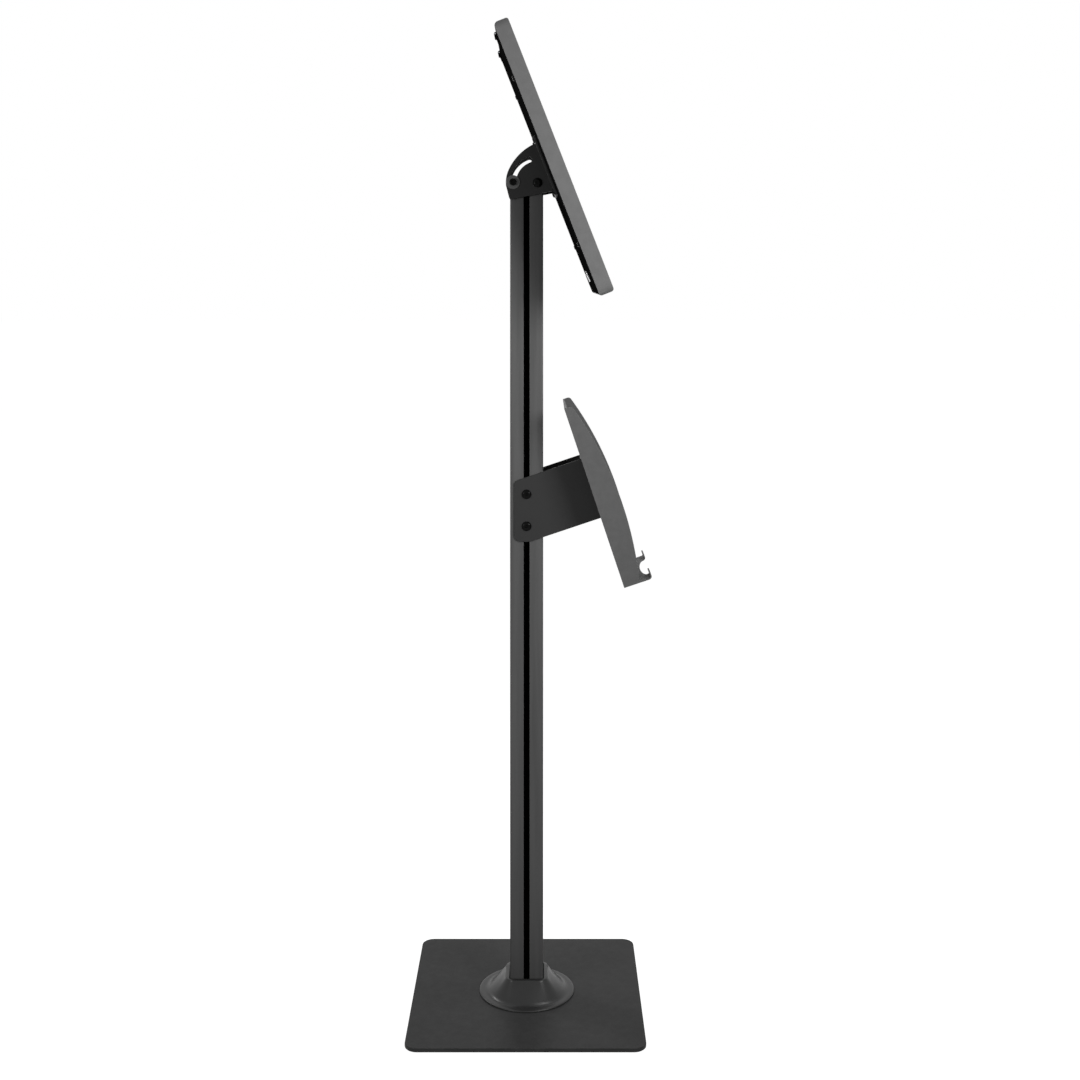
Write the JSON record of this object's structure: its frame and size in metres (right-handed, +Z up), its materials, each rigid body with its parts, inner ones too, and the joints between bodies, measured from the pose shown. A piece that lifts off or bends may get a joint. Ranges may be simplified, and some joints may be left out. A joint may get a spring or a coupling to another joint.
{
  "type": "tablet kiosk stand",
  "caption": "Floor stand: square base, slotted square post, tilting locked tablet enclosure with hinged window cover, and a leaflet holder that slides on the post.",
  "frame": {"origin": "on the floor under the middle of the post", "axes": "+Z up, +X the way the screen looks, Y across the stand"},
  "size_m": [0.3213, 0.31, 1.3201],
  "materials": {
    "plate_coat": "fine satin powder coat, charcoal black",
    "post_coat": "satin dark grey coat on aluminium extrusion",
    "fork_coat": "satin dark grey powder coat",
    "washer_coat": "grey coated steel",
    "shell_coat": "fine matte powder coat, dark grey",
    "back_coat": "deep matte black powder coat",
    "bracket_coat": "satin black powder coat",
    "arm_coat": "satin charcoal powder coat",
    "rack_coat": "fine matte powder coat, charcoal grey",
    "skirt_plastic": "semi-gloss moulded black plastic",
    "holder_plastic": "matte black plastic",
    "nylon": "black nylon",
    "mat_rubber": "black rubber",
    "foam": "closed-cell black foam",
    "black_screw": "glossy black oxide steel",
    "zinc": "zinc-plated steel",
    "lock_chrome": "bright chrome"
  },
  "bodies": {
    "stand": {"base_mat": "mat_rubber", "base_plate": "plate_coat", "post_flange": "plate_coat", "base_bolts": "black_screw", "foot_screws": "black_screw", "flange_cover": "skirt_plastic", "post": "post_coat", "tilt_fork": "fork_coat", "fork_screws": "black_screw", "pivot_bolts": "black_screw", "pivot_nuts": "black_screw", "friction_washers": "nylon", "clamp_screws": "black_screw", "clamp_washers": "washer_coat", "clamp_nuts": "black_screw"},
    "tilt_head": {"tilt_bracket": "bracket_coat", "plate_screws": "black_screw", "back_plate": "back_coat", "corner_holders": "holder_plastic", "corner_screws": "black_screw", "foam_pads": "foam", "cable_grommet": "nylon", "hinge_knuckles": "back_coat", "hinge_pins": "zinc", "lock_barrel": "lock_chrome", "lock_nut": "zinc"},
    "cover": {"front_cover": "shell_coat", "cover_knuckles": "back_coat", "window_gasket": "foam", "lock_catch": "bracket_coat"},
    "lock": {"lock_plug": "lock_chrome", "lock_cam": "zinc", "cam_screw": "zinc"},
    "leaflet_rack": {"rack_bracket": "arm_coat", "rack_screws": "black_screw", "slot_nuts": "zinc", "leaflet_holder": "rack_coat", "holder_screws": "black_screw", "holder_nuts": "zinc"}
  },
  "joints": [
    {"name": "tilt", "type": "hinge", "parent": "stand", "child": "tilt_head", "pos_m": [0.0148, 0, 1.1148], "axis": [0, -1, 0], "range_deg": [0, 68.65]},
    {"name": "cover_hinge", "type": "hinge", "parent": "tilt_head", "child": "cover", "pos_m": [-0.04032, 0, 1.30498], "axis": [0, -1, 0], "range_deg": [0, 100]},
    {"name": "lock_turn", "type": "hinge", "parent": "tilt_head", "child": "lock", "pos_m": [0.08531, 0, 0.98797], "axis": [0.9314, 0, 0.3641], "range_deg": [0, 90]},
    {"name": "rack_slide", "type": "slide", "parent": "stand", "child": "leaflet_rack", "axis": [0, 0, 1], "range_m": [-0.45, 0.13]}
  ]
}
